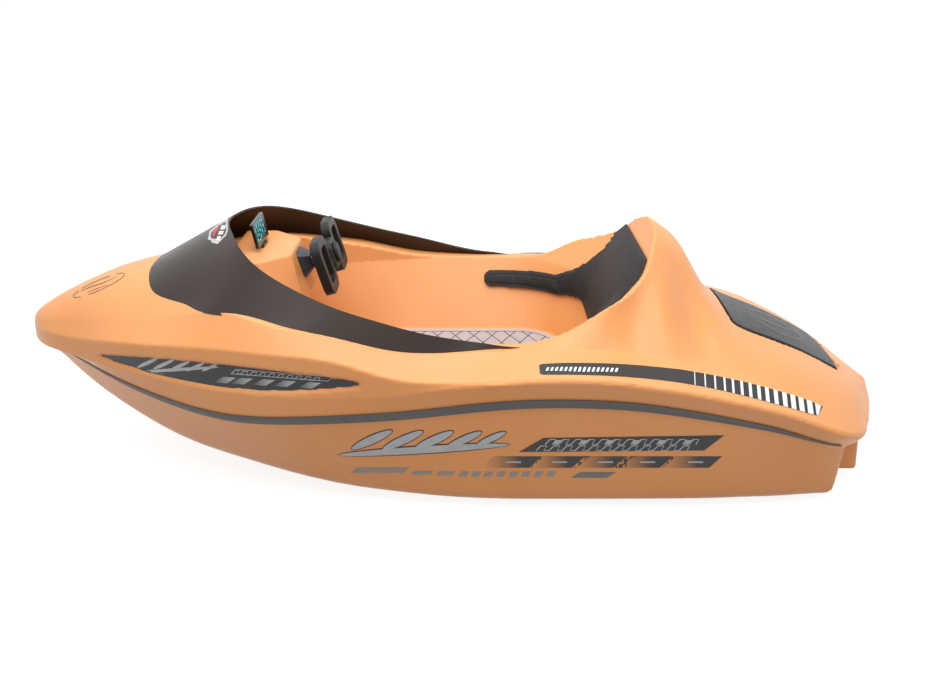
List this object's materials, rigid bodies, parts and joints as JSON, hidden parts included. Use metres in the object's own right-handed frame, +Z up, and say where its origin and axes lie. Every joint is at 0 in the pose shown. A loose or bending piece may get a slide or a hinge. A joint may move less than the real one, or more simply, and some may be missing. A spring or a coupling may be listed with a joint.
{
  "type": "kart boat",
  "caption": "Small one-seat jet boat with an open cockpit, wrap-round smoked screen, steering yoke, head fairing, hatched rear deck and steered stern nozzle.",
  "frame": {"origin": "on the floor under the middle of the overall length and beam, at the keel pad's level", "axes": "+X to the bow, +Y to port, +Z up"},
  "size_m": [2.5, 1.0924, 0.6989],
  "materials": {
    "body_orange": "gel-coated orange, satin gloss",
    "rub_grey": "dark grey rub strip",
    "gloss_black": "gloss black inlay",
    "smoked_screen": "smoked brown screen, satin",
    "display_black": "black display with teal figures",
    "black_plastic": "black moulded plastic",
    "charcoal_plastic": "charcoal moulded plastic",
    "bright_steel": "bright steel",
    "mat_fabric": "quilted pale mat with dark stitching",
    "pad_leather": "black synthetic leather",
    "hatch_grey": "dark grey panel",
    "seal_rubber": "black rubber seal",
    "drive_grey": "dark grey case",
    "jet_aluminium": "cast aluminium",
    "brass": "brass"
  },
  "bodies": {
    "boat": {"hull_shell": "body_orange", "deck_moulding": "body_orange", "stern_housing": "body_orange", "console": "body_orange", "rub_strips": "rub_grey", "scoop_inlays": "gloss_black", "screen": "smoked_screen", "display_panel": "display_black", "display_foot": "black_plastic", "column_boot": "black_plastic", "floor_mat": "mat_fabric", "backrest_pad": "pad_leather", "pedal_plate": "black_plastic", "throttle_pedal": "charcoal_plastic", "foot_rest": "black_plastic", "hatch_seal": "seal_rubber", "hatch_hinges": "body_orange", "drive_block": "drive_grey", "pump_duct": "jet_aluminium", "intake_grate": "bright_steel", "ride_plate": "jet_aluminium", "keel_strakes": "body_orange", "drain_plug": "brass"},
    "steering": {"steering_shaft": "bright_steel", "steering_hub": "charcoal_plastic", "hub_cover": "charcoal_plastic", "steering_yoke": "charcoal_plastic"},
    "nozzle": {"jet_nozzle": "jet_aluminium"},
    "impeller": {"impeller": "bright_steel"},
    "hatch": {"hatch_lid": "hatch_grey"}
  },
  "joints": [
    {"name": "steering_turn", "type": "hinge", "parent": "boat", "child": "steering", "pos_m": [0.445, 0, 0.566], "axis": [-0.9594, 0, 0.2822], "range_deg": [-90, 90]},
    {"name": "nozzle_turn", "type": "hinge", "parent": "boat", "child": "nozzle", "pos_m": [-1.1, 0, 0.095], "axis": [0, 0, 1], "range_deg": [-27, 27]},
    {"name": "impeller_spin", "type": "hinge", "parent": "boat", "child": "impeller", "pos_m": [-0.965, 0, 0.095], "axis": [1, 0, 0], "continuous": true},
    {"name": "hatch_open", "type": "hinge", "parent": "boat", "child": "hatch", "pos_m": [-1.123, 0, 0.28], "axis": [0, -1, 0], "range_deg": [0, 95]}
  ],
  "couplings": [
    {"joint": "nozzle_turn", "follows": "steering_turn", "ratio": -0.3}
  ]
}
